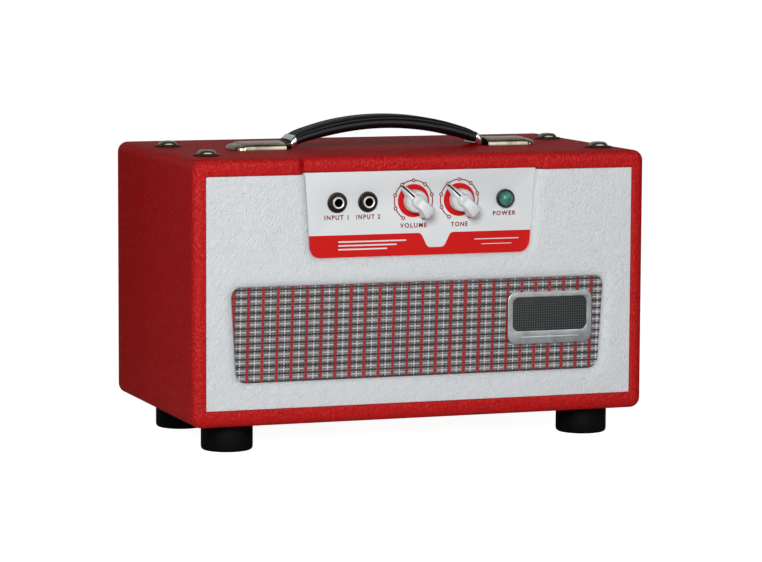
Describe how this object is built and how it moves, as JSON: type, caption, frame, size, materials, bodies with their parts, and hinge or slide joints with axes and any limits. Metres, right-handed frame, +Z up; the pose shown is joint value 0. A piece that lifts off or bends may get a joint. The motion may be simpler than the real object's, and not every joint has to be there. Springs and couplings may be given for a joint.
{
  "type": "guitar amplifier head",
  "caption": "Guitar amp head: red vinyl cabinet, white front, woven grille, top carry strap, two pointer knobs, jacks, pilot lamp, steel chassis inside.",
  "frame": {"origin": "centre of the amp's overall footprint, at the level of the surface its rubber feet stand on", "axes": "+Z up, -Y out of the front with the controls, +X to the right seen from the front"},
  "size_m": [0.381, 0.2274, 0.2585],
  "materials": {
    "red_vinyl": "bright red vinyl covering with a fine levant grain, glued over plywood boards",
    "white_vinyl": "cool white vinyl covering with a fine pebble grain over a thin board",
    "white_plate": "smooth satin white panel with red screened print",
    "grille_weave": "woven grille cloth, grey ground with red vertical and black horizontal threads",
    "bare_wood": "raw board, unfinished",
    "foot_rubber": "black moulded rubber, satin",
    "strap_vinyl": "black moulded strap with lengthwise ribs, semi gloss",
    "nickel": "nickel plate, slightly warm and brushed by handling",
    "chrome_band": "bright chrome",
    "chassis_steel": "zinc plated sheet steel",
    "can_aluminium": "drawn aluminium can",
    "black_plastic": "black moulded plastic",
    "knob_plastic": "cool white moulded plastic, soft gloss",
    "green_jewel": "green faceted jewel, unlit",
    "clear_glass": "thin clear glass",
    "transformer_iron": "black varnished laminations and covers",
    "board_laminate": "green fibreglass board with parts fitted"
  },
  "bodies": {
    "root": {"badge": "nickel", "cabinet_shell": "red_vinyl", "chassis": "chassis_steel", "chassis_screw_front_left": "nickel", "chassis_screw_front_right": "nickel", "chassis_screw_rear_left": "nickel", "chassis_screw_rear_right": "nickel", "circuit_board": "board_laminate", "faceplate": "white_plate", "filter_capacitor": "can_aluminium", "foot_front_left": "foot_rubber", "foot_front_right": "foot_rubber", "foot_rear_left": "foot_rubber", "foot_rear_right": "foot_rubber", "front_baffle": "white_vinyl", "fuse_holder": "black_plastic", "grille_board": "bare_wood", "grille_cloth": "grille_weave", "handle_cap_left": "nickel", "handle_cap_right": "nickel", "input_jack_1": "black_plastic", "input_jack_2": "black_plastic", "input_jack_nut_1": "nickel", "input_jack_nut_2": "nickel", "input_jack_washer_1": "black_plastic", "input_jack_washer_2": "black_plastic", "mains_inlet": "black_plastic", "output_transformer": "transformer_iron", "pilot_bulb": "clear_glass", "pilot_lamp_holder": "black_plastic", "pilot_lens": "green_jewel", "power_switch_frame": "black_plastic", "power_transformer": "transformer_iron", "power_tube": "clear_glass", "power_tube_socket": "black_plastic", "preamp_tube_1": "clear_glass", "preamp_tube_2": "clear_glass", "preamp_tube_socket_1": "black_plastic", "preamp_tube_socket_2": "black_plastic", "rear_panel": "red_vinyl", "rear_panel_screw_lower_left": "nickel", "rear_panel_screw_lower_right": "nickel", "rear_panel_screw_upper_left": "nickel", "rear_panel_screw_upper_right": "nickel", "rear_vent_grille": "black_plastic", "speaker_jack": "black_plastic", "speaker_jack_nut": "nickel", "tone_pot": "chassis_steel", "volume_pot": "chassis_steel"},
    "volume_control": {"volume_knob": "knob_plastic", "volume_shaft": "chassis_steel"},
    "tone_control": {"tone_knob": "knob_plastic", "tone_shaft": "chassis_steel"},
    "power_rocker": {"power_switch_rocker": "black_plastic"},
    "fuse_cap_turn": {"fuse_cap": "black_plastic"},
    "grip": {"handle_grip": "strap_vinyl"},
    "strap_end_left": {"handle_end_left": "strap_vinyl", "handle_ferrule_left": "chrome_band"},
    "strap_end_right": {"handle_end_right": "strap_vinyl", "handle_ferrule_right": "chrome_band"}
  },
  "joints": [
    {"name": "volume_turn", "type": "hinge", "parent": "root", "child": "volume_control", "pos_m": [-0.006, -0.1043, 0.1954], "axis": [0, 1, 0], "range_deg": [-104, 192]},
    {"name": "tone_turn", "type": "hinge", "parent": "root", "child": "tone_control", "pos_m": [0.0328, -0.1043, 0.1954], "axis": [0, 1, 0], "range_deg": [-104, 192]},
    {"name": "power_switch_rock", "type": "hinge", "parent": "root", "child": "power_rocker", "pos_m": [0.056, 0.0989, 0.182], "axis": [-1, 0, 0], "range_deg": [0, 20]},
    {"name": "fuse_cap_unlock", "type": "hinge", "parent": "root", "child": "fuse_cap_turn", "pos_m": [0.088, 0.1043, 0.182], "axis": [0, 1, 0], "range_deg": [0, 90]},
    {"name": "handle_lift", "type": "slide", "parent": "root", "child": "grip", "axis": [0, 0, 1], "range_m": [0, 0.012]},
    {"name": "strap_end_left_slide", "type": "slide", "parent": "grip", "child": "strap_end_left", "axis": [0.4167, 0, -0.9091], "range_m": [0, 0.0132]},
    {"name": "strap_end_right_slide", "type": "slide", "parent": "grip", "child": "strap_end_right", "axis": [-0.4167, 0, -0.9091], "range_m": [0, 0.0132]}
  ],
  "couplings": [
    {"joint": "strap_end_left_slide", "follows": "handle_lift", "ratio": 1.1},
    {"joint": "strap_end_right_slide", "follows": "handle_lift", "ratio": 1.1}
  ]
}
